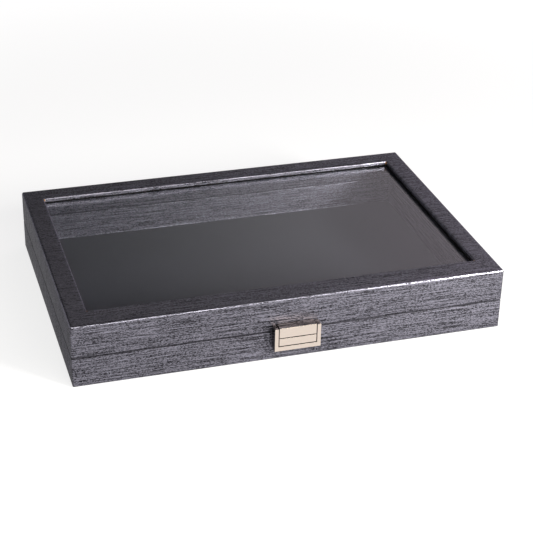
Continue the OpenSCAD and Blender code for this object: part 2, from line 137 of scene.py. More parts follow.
# The walls are white up to just above the horizon and dim above that, but for a pinkish
# glow behind the box on its right. The camera, and what it sees straight through the
# glass, gets plain white instead. wall_low and wall_high are sines of the angle above
# the horizon, and glow_edge is the cosine of the angle from the middle of the glow.
wall_level = 0.035
wall_low, wall_high = 0.04, 0.3
glow_level = 0.9
glow_edge = 0.69
glow_towards = Vector((0.791, 0.554, 0.259)).normalized()
glow_tint = "#ffe8ff"
world = bpy.data.worlds.new("studio")
bpy.context.scene.world = world
world.use_nodes = True
sky = world.node_tree
sky.nodes.clear()
gaze = add(sky, "ShaderNodeTexCoord").outputs["Generated"]
height = add(sky, "ShaderNodeSeparateXYZ", {0: gaze}).outputs["Z"]
horizon = add(sky, "ShaderNodeMapRange", {
    "Value": height, "From Min": wall_low, "From Max": wall_high,
    "To Min": 1.0, "To Max": wall_level,
}, interpolation_type="SMOOTHSTEP").outputs[0]
toward_glow = add(sky, "ShaderNodeVectorMath", {
    0: gaze, 1: glow_towards}, operation="DOT_PRODUCT").outputs["Value"]
glow = add(sky, "ShaderNodeMapRange", {
    "Value": toward_glow, "From Min": glow_edge, "From Max": 1.0,
    "To Min": 0.0, "To Max": glow_level,
}, interpolation_type="SMOOTHSTEP").outputs[0]
walls = add(sky, "ShaderNodeMath", {0: horizon, 1: glow}, operation="ADD").outputs[0]
rays = add(sky, "ShaderNodeLightPath")
unmirrored = add(sky, "ShaderNodeMath", {
    0: rays.outputs["Glossy Depth"], 1: 0.5}, operation="LESS_THAN").outputs[0]
seen = add(sky, "ShaderNodeMath", {
    0: rays.outputs["Is Transmission Ray"], 1: unmirrored, 2: rays.outputs["Is Camera Ray"],
}, operation="MULTIPLY_ADD", use_clamp=True).outputs[0]
level = add(sky, "ShaderNodeMix", {"Factor": seen, "A": walls, "B": 1.0}).outputs["Result"]
tint = add(sky, "ShaderNodeMath", {0: seen, 1: 0.5}, operation="LESS_THAN").outputs[0]
tint = add(sky, "ShaderNodeMath", {0: tint, 1: glow}, operation="MULTIPLY").outputs[0]
light = add(sky, "ShaderNodeMix", {
    0: tint, 6: (1, 1, 1, 1), 7: linear(glow_tint)}, data_type="RGBA").outputs[2]
backdrop = add(sky, "ShaderNodeBackground", {"Color": light, "Strength": level})
add(sky, "ShaderNodeOutputWorld", {"Surface": backdrop.outputs[0]})


def start_material(name):
    """A material with an empty Principled shader: the material, its tree and that node."""
    made = bpy.data.materials.new(name)
    made.use_nodes = True
    tree = made.node_tree
    tree.nodes.clear()
    shader = add(tree, "ShaderNodeBsdfPrincipled")
    add(tree, "ShaderNodeOutputMaterial", {"Surface": shader.outputs[0]})
    return made, tree, shader


# Matt white table: no gloss, only the box's soft shadow. Farther out it turns into plain
# white. Glossy surfaces see it a little darker than the eye does. Lengths in metres.
table_reach = 15
white_from, white_at = 0.4, 1.2
near_level = 0.78
glossy_share = 0.85
table = bpy.data.meshes.new("table")
table.from_pydata([(x * table_reach, y * table_reach, 0) for x, y in
                   ((-1, -1), (1, -1), (1, 1), (-1, 1))], [], [(0, 1, 2, 3)])
table_object = new_object("table", table)
table_white, tree, shader = start_material("matt_white_table")
shader.inputs["Base Color"].default_value = linear("#a0a0a0")
shader.inputs["Roughness"].default_value = 1
shader.inputs["Specular IOR Level"].default_value = 0
place = add(tree, "ShaderNodeTexCoord").outputs["Object"]
distance = add(tree, "ShaderNodeVectorMath", {0: place}, operation="LENGTH").outputs["Value"]
lift = add(tree, "ShaderNodeMapRange", {
    "Value": distance, "From Min": white_from, "From Max": white_at,
    "To Min": near_level, "To Max": 1.0,
}, interpolation_type="SMOOTHSTEP").outputs[0]
rays = add(tree, "ShaderNodeLightPath")
seen = add(tree, "ShaderNodeMath", {
    0: rays.outputs["Is Glossy Ray"], 1: glossy_share, 2: rays.outputs["Is Camera Ray"],
}, operation="MULTIPLY_ADD").outputs[0]
seen = add(tree, "ShaderNodeMath", {
    0: seen, 1: rays.outputs["Is Transmission Ray"],
}, operation="ADD", use_clamp=True).outputs[0]
lift = add(tree, "ShaderNodeMath", {0: lift, 1: seen}, operation="MULTIPLY").outputs[0]
shader.inputs["Emission Color"].default_value = (1, 1, 1, 1)
tree.links.new(lift, shader.inputs["Emission Strength"])
table.materials.append(table_white)

# ---------- covering of the base and the lid ----------
# Black paper with silver slub threads laid close together, glued over the boards. One
# sheet covers each half: its threads run along the width and up and down the sides.


def extent(node):
    """Lowest and highest corner of a node, in millimetres."""
    return [Vector(corner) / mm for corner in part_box(node)]


# The paper's thickness, the radii it bends round and the strip turned in under the
# floor, in millimetres. The boards and the glass give the rest.
cover_t = 0.3
corner_r = 1.2
edge_r = 2
rim_r = 0.7
window_r = 1.3
wrap_r = 0.4
turn_in = 12
base_low, base_high = extent("base_cover")
lid_low, lid_high = extent("lid_cover")
box_w = 2 * lid_high.x
box_d = 2 * lid_high.y
box_h = lid_high.z
lid_rim = lid_low.z
base_rim = base_high.z
felt_t = base_low.z
board_low = felt_t + cover_t
collar_low, collar_high = extent("collar_back")
base_skin_in = box_d / 2 - collar_high.y
collar_in = box_d / 2 - collar_low.y
bottom_top = collar_low.z
collar_top = collar_high.z
lining_low, lining_high = extent("lid_lining_back")
lid_skin_in = box_d / 2 - lining_high.y
lining_in = box_d / 2 - lining_low.y
glass_top = extent("glass_pane")[1].z
# How far the window's edge lies in from each side of the box.
rails = {
    "front": box_d / 2 + extent("top_front_rail")[1].y + cover_t,
    "right": box_w / 2 - extent("top_right_rail")[0].x + cover_t,
    "back": box_d / 2 - extent("top_back_rail")[0].y + cover_t,
    "left": box_w / 2 + extent("top_left_rail")[1].x + cover_t,
}


def finish_piece(piece, body, nodes, sharp_angle=40):
    """Smooths a piece's shading up to an angle in degrees, puts it on its body and hides the
    nodes it replaces. A piece that bends between two bodies has no body here."""
    piece.data.shade_smooth()
    piece.data.set_sharp_from_angle(angle=math.radians(sharp_angle))
    if body:
        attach(piece, body)
    if nodes:
        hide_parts(*nodes)


def make_piece(name, body, material, corners, faces, uvs=None, nodes=(), turn_out=True):
    """A mesh from corners in millimetres. uvs holds, for each corner of each face, its
    place on the flat sheet, in millimetres. turn_out makes all faces point outwards, for
    faces that aren't listed that way."""
    mesh = bpy.data.meshes.new(name)
    mesh.from_pydata([Vector(c) * mm for c in corners], [], faces)
    if uvs:
        layer = mesh.uv_layers.new(name="sheet")
        layer.data.foreach_set("uv", [number for face in uvs for uv in face for number in uv])
    mesh.materials.append(material)
    shape = bmesh.new()
    shape.from_mesh(mesh)
    bmesh.ops.remove_doubles(shape, verts=shape.verts, dist=0.001 * mm)
    if turn_out:
        bmesh.ops.recalc_face_normals(shape, faces=shape.faces)
    shape.to_mesh(mesh)
    shape.free()
    piece = new_object(name, mesh)
    finish_piece(piece, body, nodes)
    return piece


def arc(inset, z, radius, start, end, steps=5, at_window=0):
    """Outline points round a centre, between two angles in degrees. at_window is 1 if the
    inset is measured from the window's edge."""
    angles = [math.radians(start + (end - start) * i / steps) for i in range(steps + 1)]
    return [(at_window, inset + radius * math.cos(a), z + radius * math.sin(a)) for a in angles]


def swept(outlines, anchor, shift, closed=True):
    """Corners, faces and sheet places of outlines swept round the box. An outline point
    is (1 if measured from the window's edge, distance inwards, height). anchor is the
    point of the first outline whose place on the sheet is its distance inwards. shift
    moves the piece to another part of the sheet, in millimetres."""
    sides = ("right", "back", "left", "front")
    turn_points = 5
    corners, faces, uvs = [], [], []
    for outline in outlines:
        first = len(corners)
        insets = {k: [w * rails[k] + a for w, a, z in outline] for k in sides}
        heights = [z for w, a, z in outline]
        travel = {}
        for k in sides:
            run = [0]
            for i in range(len(outline)):
                j = (i + 1) % len(outline)
                step = math.hypot(insets[k][j] - insets[k][i], heights[j] - heights[i])
                run.append(run[-1] + step)
            fixed = anchor if outline is outlines[0] else 0
            travel[k] = [r - run[fixed] + insets[k][fixed] for r in run]
        for i, (w, a, z) in enumerate(outline):
            x0, x1 = -box_w / 2 + insets["left"][i], box_w / 2 - insets["right"][i]
            y0, y1 = -box_d / 2 + insets["front"][i], box_d / 2 - insets["back"][i]
            r = 0 if w else max(corner_r - a, 0)
            turns = ((x1 - r, y0 + r, -90), (x1 - r, y1 - r, 0),
                     (x0 + r, y1 - r, 90), (x0 + r, y0 + r, 180))
            for x, y, turn in turns:
                for s in range(turn_points):
                    angle = math.radians(turn + 90 * s / (turn_points - 1))
                    corners.append((x + r * math.cos(angle), y + r * math.sin(angle), z))
        ring = 4 * turn_points

        def sheet_place(i, run, j, side):
            x, y, z = corners[first + (i % len(outline)) * ring + j % ring]
            q = travel[side][run]
            return {
                "front": (x, q - box_d / 2), "back": (x, box_d / 2 - q),
                "left": (q - box_w / 2, y), "right": (box_w / 2 - q, y),
            }[side]

        for i in range(len(outline) if closed else len(outline) - 1):
            for j in range(ring):
                if j % turn_points == turn_points - 1:
                    side = sides[j // turn_points]
                else:
                    side = "front" if j // turn_points in (0, 3) else "back"
                quad = ((i, i, j), (i, i, j + 1), (i + 1, i + 1, j + 1), (i + 1, i + 1, j))
                faces.append([first + (a % len(outline)) * ring + b % ring for a, run, b in quad])
                places = [sheet_place(a, run, b, side) for a, run, b in quad]
                uvs.append([(u + shift, v + shift) for u, v in places])
        if not closed:
            last = first + (len(outline) - 1) * ring
            lowest = list(range(first + ring - 1, first - 1, -1))
            for cap in (lowest, list(range(last, last + ring))):
                faces.append(cap)
                uvs.append([corners[c][:2] for c in cap])
    return corners, faces, uvs


# Silver slub paper: a dark ground with broken silver threads. The eye sees fine streaks
# along the threads and a glint that spreads across them, strongest on the rounded edges,
# where the lid's top edges also carry a painted highlight.
# The real threads are about half as wide; they are drawn wide enough to show. Lengths,
# pitches and widths are in millimetres, and shares say how much each pattern counts.
thread_pitch = 0.4
knot_pitch = 1.0
slub_length = 34
slub_width = 0.7
band_length = 60
band_width = 1.8
slub_share = 3.0
fleck_share = 1.2
band_share = 0.8
silver_share = 0.36
silver_from = -0.1
# How strongly the painted seam shade and the painted edge highlight change the silver share.
painted_light_strength = 0.7
paper_black = "#17161b"
thread_silver = "#8a8894"
black_rough = 0.5
silver_rough = 0.28
band_relief = 0.1 * mm
woven_paper, tree, shader = start_material("silver_slub_covering_paper")
sheet = add(tree, "ShaderNodeUVMap", uv_map="sheet").outputs[0]
on_sheet = add(tree, "ShaderNodeSeparateXYZ", {0: sheet}).outputs
thread = add(tree, "ShaderNodeMath", {
    0: on_sheet["Y"], 1: thread_pitch}, operation="DIVIDE").outputs[0]
thread = add(tree, "ShaderNodeMath", {0: thread}, operation="FLOOR").outputs[0]
stagger = add(tree, "ShaderNodeTexWhiteNoise", {"W": thread}, noise_dimensions="1D").outputs[0]
knot = add(tree, "ShaderNodeMath", {
    0: on_sheet["X"], 1: knot_pitch}, operation="DIVIDE").outputs[0]
knot = add(tree, "ShaderNodeMath", {0: knot, 1: stagger}, operation="ADD").outputs[0]
knot = add(tree, "ShaderNodeMath", {0: knot}, operation="FLOOR").outputs[0]
cell = add(tree, "ShaderNodeCombineXYZ", {"X": knot, "Y": thread}).outputs[0]
flecks = add(tree, "ShaderNodeTexWhiteNoise", {0: cell}, noise_dimensions="2D").outputs[0]


def streaks(length, width):
    """Noise on the sheet, stretched along its threads."""
    stretched = add(tree, "ShaderNodeVectorMath", {
        0: sheet, 1: (length, width, 1)}, operation="DIVIDE").outputs[0]
    return add(tree, "ShaderNodeTexNoise", {
        "Vector": stretched, "Scale": 1.0, "Detail": 2.0, "Roughness": 0.6,
    }, noise_dimensions="2D").outputs[0]


slubs = streaks(slub_length, slub_width)
bands = streaks(band_length, band_width)
silver = silver_share - 0.5 * (slub_share + fleck_share + band_share)
for pattern, share in ((slubs, slub_share), (flecks, fleck_share), (bands, band_share)):
    silver = add(tree, "ShaderNodeMath", {
        0: pattern, 1: share, 2: silver}, operation="MULTIPLY_ADD").outputs[0]
silver = add(tree, "ShaderNodeMapRange", {
    "Value": silver, "From Min": silver_from, "From Max": 1.0}).outputs[0]
# Painted seam shade and painted edge highlight: a mark on each corner lowers or raises the silver
# share.
seam_shade_and_edge_shine = add(tree, "ShaderNodeAttribute", attribute_name="seam_shade_and_edge_shine").outputs["Fac"]
painted_light_factor = add(tree, "ShaderNodeMath", {
    0: seam_shade_and_edge_shine, 1: -painted_light_strength, 2: 1.0}, operation="MULTIPLY_ADD").outputs[0]
silver = add(tree, "ShaderNodeMath", {0: silver, 1: painted_light_factor}, operation="MULTIPLY").outputs[0]
colour = add(tree, "ShaderNodeMix", {
    0: silver, 6: linear(paper_black), 7: linear(thread_silver)}, data_type="RGBA").outputs[2]
rough = add(tree, "ShaderNodeMapRange", {
    "Value": silver, "To Min": black_rough, "To Max": silver_rough}).outputs[0]
lie = add(tree, "ShaderNodeTangent", direction_type="UV_MAP", uv_map="sheet").outputs[0]
relief = add(tree, "ShaderNodeBump", {"Height": bands, "Distance": band_relief}).outputs[0]
tree.links.new(colour, shader.inputs["Base Color"])
tree.links.new(silver, shader.inputs["Metallic"])
tree.links.new(rough, shader.inputs["Roughness"])
tree.links.new(relief, shader.inputs["Normal"])
shader.inputs["Specular IOR Level"].default_value = 0.2
shader.inputs["Specular Tint"].default_value = linear("#8a8a8a")
shader.inputs["Anisotropic"].default_value = 0.7
shader.inputs["Anisotropic Rotation"].default_value = 0.25
tree.links.new(lie, shader.inputs["Tangent"])

# The base's sheet starts under the floor, comes up the outside and over the rim, and
# ends at the foot of the inside.
base_outline = (
    [(0, turn_in, felt_t)]
    + arc(rim_r, felt_t + rim_r, rim_r, 270, 180)
    + arc(rim_r, base_rim - rim_r, rim_r, 180, 90)
    + arc(base_skin_in - wrap_r, base_rim - wrap_r, wrap_r, 90, 0)
    + [(0, base_skin_in, bottom_top), (0, base_skin_in - cover_t, bottom_top),
       (0, base_skin_in - cover_t, base_rim - cover_t)]
    + arc(rim_r, base_rim - rim_r, rim_r - cover_t, 90, 180)
    + arc(rim_r, board_low + rim_r - cover_t, rim_r - cover_t, 180, 270)
    + [(0, turn_in, board_low)]
)
corners, faces, uvs = swept([base_outline], anchor=0, shift=600)
base_covering = make_piece("base_covering", "base", woven_paper, corners, faces, uvs,
                           ["base_cover"], turn_out=False)

# The lid's sheet covers the frame, turns down into the window and over the sides, and
# ends inside, above the rim. The sheet is measured from where the flat top starts.
lid_sides = (
    [(0, lid_skin_in, glass_top)]
    + arc(lid_skin_in - wrap_r, lid_rim + wrap_r, wrap_r, 0, -90)
    + arc(rim_r, lid_rim + rim_r, rim_r, 270, 180)
    + arc(edge_r, box_h - edge_r, edge_r, 180, 90, steps=8)
)
lid_outline = (
    lid_sides
    + arc(-window_r, box_h - window_r, window_r, 90, 0, at_window=1)
    + [(1, 0, glass_top)]
)
lid_core = [
    (0, lid_skin_in - cover_t, glass_top + cover_t),
    (1, -cover_t, glass_top + cover_t),
    *arc(-window_r, box_h - window_r, window_r - cover_t, 0, 90, at_window=1),
    *arc(edge_r, box_h - edge_r, edge_r - cover_t, 90, 180),
    *arc(rim_r, lid_rim + rim_r, rim_r - cover_t, 180, 270),
    (0, lid_skin_in - cover_t, lid_rim + cover_t),
]
top_start = len(lid_sides) - 1
corners, faces, uvs = swept([lid_outline, lid_core], anchor=top_start, shift=0)
lid_covering = make_piece("lid_covering", "lid", woven_paper, corners, faces, uvs,
                          ["lid_cover"], turn_out=False)

# Painted shade and painted highlight: the silver share is cut where the paper is folded
# over the rims, so the seam between them is painted black as shade, and raised on the
# lid's rounded top edges as a painted highlight. The outer folds' first and last rows of
# corners belong to the flats beside them.
painted_edge_shine = 3
near_flat = 0.02
fold_end = 0.1
for piece, rim in ((base_covering, base_rim), (lid_covering, lid_rim)):
    marks = piece.data.attributes.new("seam_shade_and_edge_shine", "FLOAT", "POINT")
    for mark, vertex in zip(marks.data, piece.data.vertices):
        z = vertex.co.z / mm
        seam_shaded = near_flat < abs(z - rim) < rim_r - fold_end
        edge_shined = near_flat < box_h - z < edge_r - fold_end
        mark.value = seam_shaded - painted_edge_shine * edge_shined

# ---------- boards ----------
# Cut from grey-brown fibreboard and butted at the corners. The covering hides them all
# but for specks of raw board in the window's corners, where the sheet is slit.

# Raw fibreboard: matt, light brown and faintly fibrous.
fibreboard, tree, shader = start_material("raw_fibreboard")
place = add(tree, "ShaderNodeTexCoord").outputs["Object"]
fibre_length = 2.5 * mm
fibres = add(tree, "ShaderNodeTexNoise", {
    "Vector": place, "Scale": 1 / fibre_length, "Detail": 6, "Roughness": 0.7}).outputs[0]
colour = add(tree, "ShaderNodeMix", {
    0: fibres, 6: linear("#7d5632"), 7: linear("#bd8a55")}, data_type="RGBA").outputs[2]
relief = add(tree, "ShaderNodeBump", {"Height": fibres, "Distance": 0.1 * mm}).outputs[0]
tree.links.new(colour, shader.inputs["Base Color"])
tree.links.new(relief, shader.inputs["Normal"])
shader.inputs["Roughness"].default_value = 0.85


def finish_node(name, material):
    """Gives a node of the frame its material."""
    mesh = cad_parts[name].data
    mesh.materials.clear()
    mesh.materials.append(material)


for side in ("front", "back", "left", "right"):
    finish_node(f"base_{side}_board", fibreboard)
    finish_node(f"lid_{side}_board", fibreboard)
    finish_node(f"top_{side}_rail", fibreboard)
finish_node("base_bottom_board", fibreboard)
finish_node("pad_card", fibreboard)

# The specks: the length of their legs and how far below the top they lie.
speck_leg = 0.9
speck_low = box_h - 2.8
speck_high = box_h - 0.6
corners, faces = [], []
for x, y in ((-1, -1), (1, -1), (1, 1), (-1, 1)):
    window_x = x * (box_w / 2 - rails["left" if x < 0 else "right"])
    window_y = y * (box_d / 2 - rails["front" if y < 0 else "back"])
    first = len(corners)
    for z in (speck_low, speck_high):
        corners += [(window_x, window_y, z), (window_x - x * speck_leg, window_y, z),
                    (window_x, window_y - y * speck_leg, z)]
    faces += [[first + c for c in face] for face in
              ((0, 1, 2), (3, 4, 5), (0, 1, 4, 3), (1, 2, 5, 4), (2, 0, 3, 5))]
make_piece("window_corner_specks", "lid", fibreboard, corners, faces)

# ---------- linings ----------
# Thin boards wrapped in the same paper. The base's stand up past the seam as a collar
# that the lid closes round; the lid's end just above it and hold the glass up.

# Radii of the wrapped edges, of those at their backs, and of the paper's bend at the pad.
lining_r = 0.5
back_r = 0.3
foot_r = 0.9
pad_high = extent("pad_flock")[1]
pad_top = pad_high.z


def lining(name, body, side, outline, half_length):
    """A wrapped board along one side of the box. outline holds (distance inwards, height).
    Each board is cut from another part of the sheet."""
    corners, faces, uvs = [], [], []
    count = len(outline)
    run = [0]
    for i in range(count):
        j = (i + 1) % count
        step = math.hypot(outline[j][0] - outline[i][0], outline[j][1] - outline[i][1])
        run.append(run[-1] + step)
    for along in (-half_length, half_length):
        for inset, z in outline:
            corners.append({
                "front": (along, inset - box_d / 2, z), "back": (along, box_d / 2 - inset, z),
                "left": (inset - box_w / 2, along, z), "right": (box_w / 2 - inset, along, z),
            }[side])
    shift = {"front": 900, "back": 1200, "left": 1500, "right": 1800}[side]
    for i in range(count):
        j = (i + 1) % count
        faces.append((i, j, count + j, count + i))
        uvs.append([(along + shift, run[r] + shift) for along, r in (
            (-half_length, i), (-half_length, i + 1), (half_length, i + 1), (half_length, i))])
    for end in (range(count), range(count, 2 * count)):
        faces.append(list(end))
        uvs.append([(inset + shift, z + shift) for inset, z in outline])
    make_piece(name, body, woven_paper, corners, faces, uvs, [name])


def plain(points):
    """Outline points without their window flag."""
    return [point[1:] for point in points]


collar_outline = (
    [(base_skin_in, bottom_top), (collar_in, bottom_top), (collar_in, pad_top)]
    + plain(arc(collar_in + foot_r, pad_top + foot_r, foot_r, 270, 180))
    + plain(arc(collar_in - lining_r, collar_top - lining_r, lining_r, 0, 90))
    + plain(arc(base_skin_in + back_r, collar_top - back_r, back_r, 90, 180, steps=3))
)
lining_outline = (
    [(lid_skin_in, lining_high.z)]
    + plain(arc(lid_skin_in + back_r, lining_low.z + back_r, back_r, 180, 270, steps=3))
    + plain(arc(lining_in - lining_r, lining_low.z + lining_r, lining_r, 270, 360))
    + [(lining_in, lining_high.z)]
)

# The front and back boards run the whole inner width, and the side ones between them.
for side in ("front", "back"):
    lining(f"collar_{side}", "base", side, collar_outline, box_w / 2 - base_skin_in)
    lining(f"lid_lining_{side}", "lid", side, lining_outline, box_w / 2 - lid_skin_in)
for side in ("left", "right"):
    lining(f"collar_{side}", "base", side, collar_outline, box_d / 2 - collar_in)
    lining(f"lid_lining_{side}", "lid", side, lining_outline, box_d / 2 - lining_in)

# ---------- floor pad ----------
# A card faced with black flocked paper, folded down over its edges and pushed in
# between the collar boards.

# Flocked paper: a dense short nap, dull black, with no gloss and a very fine grain.
flock, tree, shader = start_material("black_flocked_paper")
place = add(tree, "ShaderNodeTexCoord").outputs["Object"]
tuft = 0.8 * mm
nap = add(tree, "ShaderNodeTexNoise", {
    "Vector": place, "Scale": 1 / tuft, "Detail": 2, "Roughness": 0.7}).outputs[0]
cloud_width = 60 * mm
clouds = add(tree, "ShaderNodeTexNoise", {
    "Vector": place, "Scale": 1 / cloud_width, "Detail": 3, "Roughness": 0.6}).outputs[0]
mottle = add(tree, "ShaderNodeMath", {0: nap, 1: clouds}, operation="ADD").outputs[0]
mottle = add(tree, "ShaderNodeMath", {0: mottle, 1: 0.5}, operation="MULTIPLY").outputs[0]
colour = add(tree, "ShaderNodeMix", {
    0: mottle, 6: linear("#26262c"), 7: linear("#3a3a43")}, data_type="RGBA").outputs[2]
relief = add(tree, "ShaderNodeBump", {"Height": nap, "Distance": 0.1 * mm}).outputs[0]
tree.links.new(colour, shader.inputs["Base Color"])
tree.links.new(relief, shader.inputs["Normal"])
shader.inputs["Roughness"].default_value = 1
shader.inputs["Specular IOR Level"].default_value = 0.1
shader.inputs["Sheen Weight"].default_value = 0.1

pad_in = box_w / 2 - pad_high.x
flock_t = 0.6
pad_r = 0.4
pad_outline = (
    [(0, pad_in + flock_t, pad_top - flock_t), (0, pad_in + flock_t, bottom_top),
     (0, pad_in, bottom_top)]
    + arc(pad_in + pad_r, pad_top - pad_r, pad_r, 180, 90)
)
corners, faces, uvs = swept([pad_outline], anchor=0, shift=0, closed=False)
make_piece("flocked_facing", "base", flock, corners, faces, uvs, ["pad_flock"],
           turn_out=False)

# ---------- glass ----------
# A pane of float glass laid in under the frame. Lamps shine through it, so that the
# inside is lit. A black strip runs round it at the window's edge as painted shade, for the
# shadow in the gap between the frame and the glass.

# Float glass: clear and polished, so it gives the eye only a faint mirror image of the
# bright side of the studio.
glass_bulk, tree, shader = start_material("clear_float_glass")
shader.inputs["Base Color"].default_value = linear("#fdfeff")
shader.inputs["Roughness"].default_value = 0.0
shader.inputs["IOR"].default_value = 1.5
shader.inputs["Transmission Weight"].default_value = 1.0
open_air = add(tree, "ShaderNodeBsdfTransparent", {"Color": linear("#fafbfd")})
rays = add(tree, "ShaderNodeLightPath")
through = add(tree, "ShaderNodeMath", {
    0: rays.outputs["Is Shadow Ray"], 1: rays.outputs["Is Diffuse Ray"],
}, operation="ADD", use_clamp=True).outputs[0]
mixed = add(tree, "ShaderNodeMixShader", {
    0: through, 1: shader.outputs[0], 2: open_air.outputs[0]})
output = next(n for n in tree.nodes if n.type == "OUTPUT_MATERIAL")
tree.links.new(mixed.outputs[0], output.inputs["Surface"])
finish_node("glass_pane", glass_bulk)

# Painted shade: a matt black strip for the shadow gap at the window's edge.
shadow_gap_black, tree, shader = start_material("painted_shadow_gap_black")
place = add(tree, "ShaderNodeTexCoord").outputs["Object"]
shadow_gap_grain = 0.6 * mm
grain = add(tree, "ShaderNodeTexNoise", {
    "Vector": place, "Scale": 1 / shadow_gap_grain, "Detail": 2}).outputs[0]
colour = add(tree, "ShaderNodeMix", {
    0: grain, 6: linear("#060606"), 7: linear("#101011")}, data_type="RGBA").outputs[2]
tree.links.new(colour, shader.inputs["Base Color"])
shader.inputs["Roughness"].default_value = 0.9
shader.inputs["Specular IOR Level"].default_value = 0.1
# The painted shadow strip's height, width and tuck under the window's edge, in millimetres.
gap_strip_h = 1.1
gap_strip_w = 0.6
gap_strip_tuck = 0.1
gap_strip_outline = [
    (1, -gap_strip_tuck, glass_top), (1, -gap_strip_tuck, glass_top + gap_strip_h),
    (1, gap_strip_w / 2, glass_top + gap_strip_h), (1, gap_strip_w, glass_top + gap_strip_h / 2),
    (1, gap_strip_w, glass_top),
]
corners, faces, uvs = swept([gap_strip_outline], anchor=0, shift=0)
make_piece("painted_shadow_gap_strip", "lid", shadow_gap_black, corners, faces)

# ---------- clasp ----------
# Three zinc die castings, polished and plated in warm satin nickel: a frame on the
# base, a hasp on the lid that drops between its arms, and the push button below it.

# Satin nickel: a warm, light mirror with very fine brushing on the front. Its top and
# sides are painted darker as shade, the top less so, by how far a face turns from
# lit_towards: 0.77 on the front, 0.64 on top and 0 on the sides. The dark colour stands
# in for the shade that the sides and top reflect.
brush_length = 6 * mm
brush_width = 0.25 * mm
lit_towards = (0, -0.77, 0.64)
unshaded_from, unshaded_at = 0.54, 0.77
satin_nickel, tree, shader = start_material("satin_champagne_nickel")
place = add(tree, "ShaderNodeTexCoord")
brushed = add(tree, "ShaderNodeMapping", {
    "Vector": place.outputs["Object"],
    "Scale": (1 / brush_length, 1 / brush_width, 1 / brush_width)}).outputs[0]
lines = add(tree, "ShaderNodeTexNoise", {
    "Vector": brushed, "Scale": 1.0, "Detail": 2}).outputs[0]
rough = add(tree, "ShaderNodeMapRange", {
    "Value": lines, "To Min": 0.06, "To Max": 0.12}).outputs[0]
colour = add(tree, "ShaderNodeMix", {
    0: lines, 6: linear("#d7c9be"), 7: linear("#e3d5ca")}, data_type="RGBA").outputs[2]
facing = add(tree, "ShaderNodeVectorMath", {
    0: place.outputs["Normal"], 1: lit_towards}, operation="DOT_PRODUCT").outputs["Value"]
unshaded_share = add(tree, "ShaderNodeMapRange", {
    "Value": facing, "From Min": unshaded_from, "From Max": unshaded_at,
}, interpolation_type="SMOOTHSTEP").outputs[0]
# Painted shade: faces turned away from lit_towards take the dark colour instead of the nickel.
colour = add(tree, "ShaderNodeMix", {
    0: unshaded_share, 6: linear("#2e2a28"), 7: colour}, data_type="RGBA").outputs[2]
tree.links.new(colour, shader.inputs["Base Color"])
tree.links.new(rough, shader.inputs["Roughness"])
shader.inputs["Metallic"].default_value = 1.0


def copied(name, node, material):
    """A copy of a node with its doubles merged and its flat faces made whole."""
    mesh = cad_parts[node].data.copy()
    mesh.name = name
    mesh.materials.clear()
    mesh.materials.append(material)
    shape = bmesh.new()
    shape.from_mesh(mesh)
    bmesh.ops.remove_doubles(shape, verts=shape.verts, dist=0.002 * mm)
    bmesh.ops.dissolve_limit(shape, angle_limit=math.radians(1), verts=shape.verts,
                             edges=shape.edges)
    shape.to_mesh(mesh)
    shape.free()
    return new_object(name, mesh)


def softened(name, node, body, material, width):
    """A copy of a node with its sharp edges rounded, by a width in millimetres."""
    edge_angle = 35
    piece = copied(name, node, material)
    bevel = piece.modifiers.new("rounded edges", "BEVEL")
    bevel.width = width * mm
    bevel.segments = 3
    bevel.limit_method = "ANGLE"
    bevel.angle_limit = math.radians(edge_angle)
    bevel.harden_normals = True
    finish_piece(piece, body, [node], sharp_angle=edge_angle)


softened("clasp_frame", "clasp_housing", "base", satin_nickel, width=0.2)
softened("hasp_block", "hasp", "lid", satin_nickel, width=0.12)
softened("clasp_button", "push_button", "button", satin_nickel, width=0.12)

# ---------- catch and hinges ----------
# Stamped and rolled from bright steel. The leaves are curled round a headed pin, and
# the catch is a bent spring riveted to the plate behind the button.

# Plated steel: pale and bright, with faint drawing lines along its length.
line_length = 8 * mm
line_width = 0.3 * mm
bright_steel, tree, shader = start_material("nickel_plated_steel")
place = add(tree, "ShaderNodeTexCoord").outputs["Object"]
drawn = add(tree, "ShaderNodeMapping", {
    "Vector": place, "Scale": (1 / line_length, 1 / line_width, 1 / line_width)}).outputs[0]
lines = add(tree, "ShaderNodeTexNoise", {"Vector": drawn, "Scale": 1.0, "Detail": 2}).outputs[0]
rough = add(tree, "ShaderNodeMapRange", {
    "Value": lines, "To Min": 0.24, "To Max": 0.42}).outputs[0]
colour = add(tree, "ShaderNodeMix", {
    0: lines, 6: linear("#b9b6b0"), 7: linear("#d0cdc7")}, data_type="RGBA").outputs[2]
tree.links.new(colour, shader.inputs["Base Color"])
tree.links.new(rough, shader.inputs["Roughness"])
shader.inputs["Metallic"].default_value = 1.0

for name in ("clasp_back_plate", "catch_rivets"):
    finish_node(name, bright_steel)

# The spring's foot stays riveted to its plate, and its blade bends back with the button.
# Here it is put on no body, and nothing makes it bend.
spring = copied("bent_spring", "catch_spring", bright_steel)
finish_piece(spring, None, ["catch_spring"])
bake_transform(spring)

for side in ("left", "right"):
    for half in ("base", "lid"):
        softened(f"{side}_{half}_leaf", f"{side}_hinge_{half}_leaf", half, bright_steel,
                 width=0.12)
softened("hinge_pin_pair", "hinge_pins", "base", bright_steel, width=0.1)

# ---------- screws ----------
# Countersunk steel screws with a cross recess, turned into the boards through the
# hinge leaves and into the clasp castings from inside the walls.

# Known fault: the tree below gives the heads alone, with loose, open and doubled edges.
# The shanks that it adds to them are missing from its result.

# In millimetres. The shank starts at shank_from of the head's depth, so that the two
# overlap. recess_reach is a share of the head's radius, recess_sink one of its depth.
head_r = 1.9
screw_r = 1.0
recess_w = 0.45
head_sides = 32
shank_sides = 24
shank_from = 0.9
recess_reach = 0.6
recess_sink = 0.7


